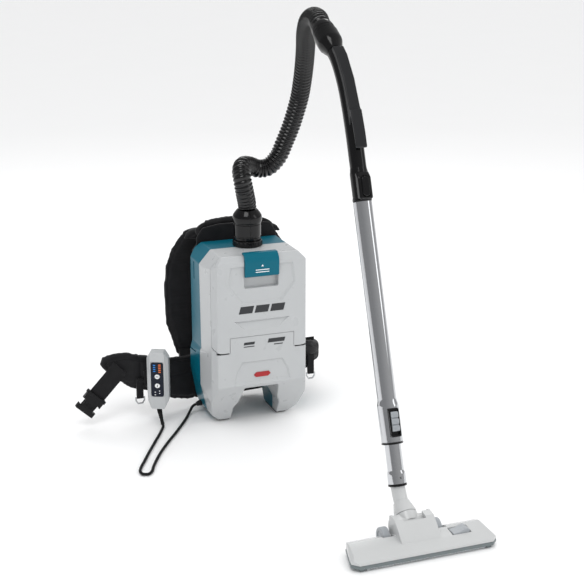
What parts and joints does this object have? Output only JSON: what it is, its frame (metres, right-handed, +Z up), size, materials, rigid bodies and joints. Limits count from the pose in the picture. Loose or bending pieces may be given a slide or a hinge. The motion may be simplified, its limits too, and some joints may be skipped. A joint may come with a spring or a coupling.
{
  "type": "backpack vacuum cleaner",
  "caption": "Backpack vacuum cleaner with shoulder harness, waist belt, wired handset, suction hose, curved handle, telescopic wand and floor nozzle.",
  "frame": {"origin": "under the middle of the object's bounding box, on the floor it stands on, measured without the hose and the handset cord", "axes": "+Z up; the backpack's front and the nozzle face -Y, the wearer's side is +Y; +X is to the right seen from the front"},
  "size_m": [0.5996, 0.9154, 0.9003],
  "materials": {
    "shell_white": "satin moulded",
    "teal": "satin moulded",
    "gloss_black": "glossy",
    "soft_grey": "soft touch",
    "dark_plastic": "matt moulded",
    "nozzle_grey": "matt moulded",
    "polished_tube": "polished",
    "steel": "bright",
    "rubber": "matt",
    "fabric_black": "woven nylon",
    "webbing": "ribbed webbing",
    "paper": "filter paper",
    "bristle": "translucent bristle",
    "board": "circuit board"
  },
  "bodies": {
    "backpack": {"front_housing": "shell_white", "rear_housing": "teal", "chamber_wall": "dark_plastic", "exhaust_grille": "dark_plastic", "foot_pad_left": "rubber", "foot_pad_right": "rubber", "motor": "steel", "battery_terminal": "soft_grey", "control_board": "board", "hepa_filter": "paper", "dust_bag": "paper", "bag_collar": "paper", "door_seal": "rubber", "inlet_port": "gloss_black", "handset_case": "shell_white", "handset_panel": "gloss_black", "belt_clip": "dark_plastic", "handset_relief": "rubber", "handset_cord": "rubber", "cord_gland": "rubber", "back_pad": "fabric_black", "shoulder_strap_left": "fabric_black", "shoulder_strap_right": "fabric_black", "carry_handle": "fabric_black", "belt_wing_left": "fabric_black", "belt_wing_right": "fabric_black", "belt_web_left": "webbing", "belt_web_right": "webbing", "buckle_socket": "dark_plastic", "buckle_plug": "dark_plastic"},
    "fan": {"impeller": "dark_plastic"},
    "battery": {"battery_pack": "dark_plastic"},
    "door": {"door": "shell_white"},
    "latch": {"door_latch": "teal"},
    "hose": {"inlet_cuff": "gloss_black", "suction_hose": "gloss_black", "handle_cuff": "gloss_black"},
    "handle": {"handle_pipe": "gloss_black", "grip_cover": "soft_grey", "outer_tube": "polished_tube", "tube_end_ring": "gloss_black", "lock_bezel": "gloss_black"},
    "release": {"wand_release": "gloss_black"},
    "lock": {"length_lock": "soft_grey"},
    "inner_wand": {"inner_tube": "polished_tube", "inner_end_ring": "gloss_black", "nozzle_elbow": "shell_white"},
    "knuckle": {"nozzle_knuckle": "shell_white"},
    "nozzle": {"nozzle_shell": "shell_white", "nozzle_sole": "nozzle_grey"},
    "brushes": {"brush_front": "bristle", "brush_rear": "bristle"},
    "pedal": {"pedal": "nozzle_grey"},
    "wheel_l": {"wheel_left": "nozzle_grey"},
    "wheel_r": {"wheel_right": "nozzle_grey"},
    "power_key": {"power_button": "teal"},
    "mode_key": {"mode_button": "paper"},
    "ring_l": {"d_ring_left": "steel"},
    "ring_r": {"d_ring_right": "steel"}
  },
  "joints": [
    {"name": "fan_spin", "type": "hinge", "parent": "backpack", "child": "fan", "pos_m": [0.08085, 0.2633, 0.152], "axis": [0, 0, 1], "continuous": true},
    {"name": "battery_slide", "type": "slide", "parent": "backpack", "child": "battery", "axis": [0, 0, -1], "range_m": [0, 0.06]},
    {"name": "door_swing", "type": "hinge", "parent": "backpack", "child": "door", "pos_m": [0.08085, 0.2088, 0.18], "axis": [1, 0, 0], "range_deg": [0, 100]},
    {"name": "latch_lift", "type": "hinge", "parent": "door", "child": "latch", "pos_m": [0.08085, 0.2248, 0.3885], "axis": [-1, 0, 0], "range_deg": [0, 28], "stiffness_Nm_per_rad": 0.12},
    {"name": "inlet_swivel", "type": "hinge", "parent": "backpack", "child": "hose", "pos_m": [0.08085, 0.2993, 0.4], "axis": [0, 0, 1], "continuous": true},
    {"name": "handle_swivel", "type": "hinge", "parent": "hose", "child": "handle", "pos_m": [0.14985, -0.00041, 0.83594], "axis": [0, 0.866, 0.5], "continuous": true},
    {"name": "wand_release_press", "type": "slide", "parent": "handle", "child": "release", "axis": [0, 0.9397, -0.342], "range_m": [0, 0.0025], "stiffness_N_per_m": 1200},
    {"name": "length_lock_slide", "type": "slide", "parent": "handle", "child": "lock", "axis": [0, -0.342, -0.9397], "range_m": [0, 0.005], "stiffness_N_per_m": 900},
    {"name": "telescope", "type": "slide", "parent": "handle", "child": "inner_wand", "axis": [0, -0.342, -0.9397], "range_m": [0, 0.3]},
    {"name": "neck_swivel", "type": "hinge", "parent": "inner_wand", "child": "knuckle", "pos_m": [0.14985, -0.3647, 0.044], "axis": [0, 0.788, 0.6157], "range_deg": [-90, 90]},
    {"name": "nozzle_pitch", "type": "hinge", "parent": "knuckle", "child": "nozzle", "pos_m": [0.14985, -0.3817, 0.031], "axis": [1, 0, 0], "range_deg": [-25, 35]},
    {"name": "pedal_rock", "type": "hinge", "parent": "nozzle", "child": "pedal", "pos_m": [0.22985, -0.4197, 0.022], "axis": [0, 1, 0], "range_deg": [0, 12]},
    {"name": "brush_lift", "type": "slide", "parent": "nozzle", "child": "brushes", "axis": [0, 0, 1], "range_m": [0, 0.004]},
    {"name": "wheel_left_spin", "type": "hinge", "parent": "nozzle", "child": "wheel_l", "pos_m": [0.09885, -0.3817, 0.018], "axis": [1, 0, 0], "continuous": true},
    {"name": "wheel_right_spin", "type": "hinge", "parent": "nozzle", "child": "wheel_r", "pos_m": [0.20085, -0.3817, 0.018], "axis": [1, 0, 0], "continuous": true},
    {"name": "power_press", "type": "slide", "parent": "backpack", "child": "power_key", "axis": [0.4067, 0.9135, 0], "range_m": [0, 0.0012], "stiffness_N_per_m": 800},
    {"name": "mode_press", "type": "slide", "parent": "backpack", "child": "mode_key", "axis": [0.4067, 0.9135, 0], "range_m": [0, 0.0012], "stiffness_N_per_m": 800},
    {"name": "ring_left_swing", "type": "hinge", "parent": "backpack", "child": "ring_l", "pos_m": [-0.15515, 0.3493, 0.0485], "axis": [1, 0, 0], "range_deg": [-60, 60]},
    {"name": "ring_right_swing", "type": "hinge", "parent": "backpack", "child": "ring_r", "pos_m": [0.25685, 0.3723, 0.0445], "axis": [1, 0, 0], "range_deg": [-60, 60]}
  ],
  "couplings": [
    {"joint": "pedal_rock", "follows": "brush_lift", "rad_per_m": 52.307}
  ]
}
